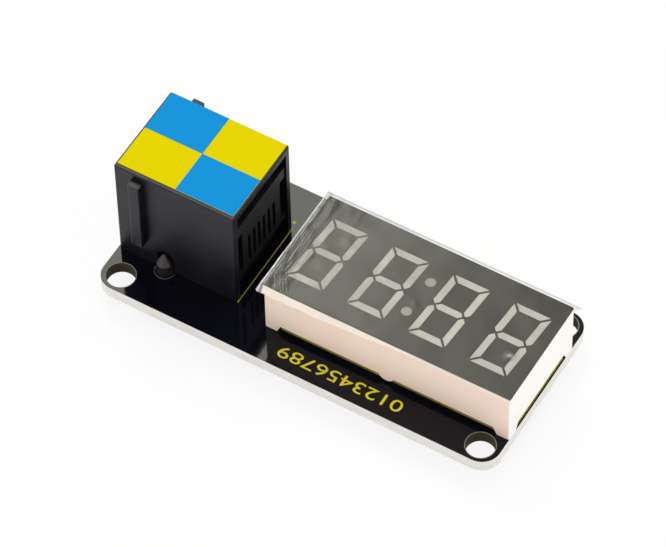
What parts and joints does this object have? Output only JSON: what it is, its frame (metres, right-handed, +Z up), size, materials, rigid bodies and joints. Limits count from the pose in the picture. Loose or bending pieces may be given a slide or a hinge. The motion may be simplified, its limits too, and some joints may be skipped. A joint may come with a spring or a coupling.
{
  "type": "seven segment display module",
  "caption": "Small black circuit board with a four digit clock display at one end, a six way modular jack at the other and a fixing hole in each corner.",
  "frame": {"origin": "middle of the board in plan, on the surface that the posts and pins stand on", "axes": "+X along the board from the jack to the display, +Y to the back edge as the digits read, +Z up"},
  "size_m": [0.0496, 0.0222, 0.018],
  "materials": {
    "board_black": "black solder mask on glass-fibre board, glossy",
    "print_yellow": "yellow printed lines",
    "jack_black": "moulded black plastic, fine gloss",
    "carrier_black": "moulded black plastic",
    "peg_brown": "dark moulded plastic",
    "contact_gold": "gold-plated spring wire",
    "label_yellow": "flat yellow label",
    "label_blue": "flat blue print",
    "shell_white": "moulded white plastic",
    "mask_grey": "dark grey face print",
    "light_bar": "cast milky resin",
    "emitter_board": "white coated board",
    "emitter_die": "bare light emitter",
    "cast_resin": "cast resin",
    "tinned_metal": "tinned metal",
    "clear_film": "thin clear protective film",
    "chip_black": "moulded chip body",
    "resistor_black": "coated ceramic",
    "capacitor_tan": "fired ceramic"
  },
  "bodies": {
    "root": {"circuit_board": "board_black", "board_print": "print_yellow", "jack_housing": "jack_black", "contact_carrier": "carrier_black", "back_row_contacts": "contact_gold", "front_row_contacts": "contact_gold", "colour_label": "label_yellow", "label_blue_fields": "label_blue", "front_peg": "peg_brown", "back_peg": "peg_brown", "display_shell": "shell_white", "face_mask": "mask_grey", "digit_1_light_bars": "light_bar", "digit_2_light_bars": "light_bar", "digit_3_light_bars": "light_bar", "digit_4_light_bars": "light_bar", "colon_light_bars": "light_bar", "emitter_board": "emitter_board", "emitter_dies": "emitter_die", "cast_resin": "cast_resin", "display_pins": "tinned_metal", "protective_film": "clear_film", "display_solder_joints": "tinned_metal", "jack_solder_joints": "tinned_metal", "driver_chip": "chip_black", "driver_leads": "tinned_metal", "resistors": "resistor_black", "capacitors": "capacitor_tan", "component_end_caps": "tinned_metal"}
  },
  "joints": []
}
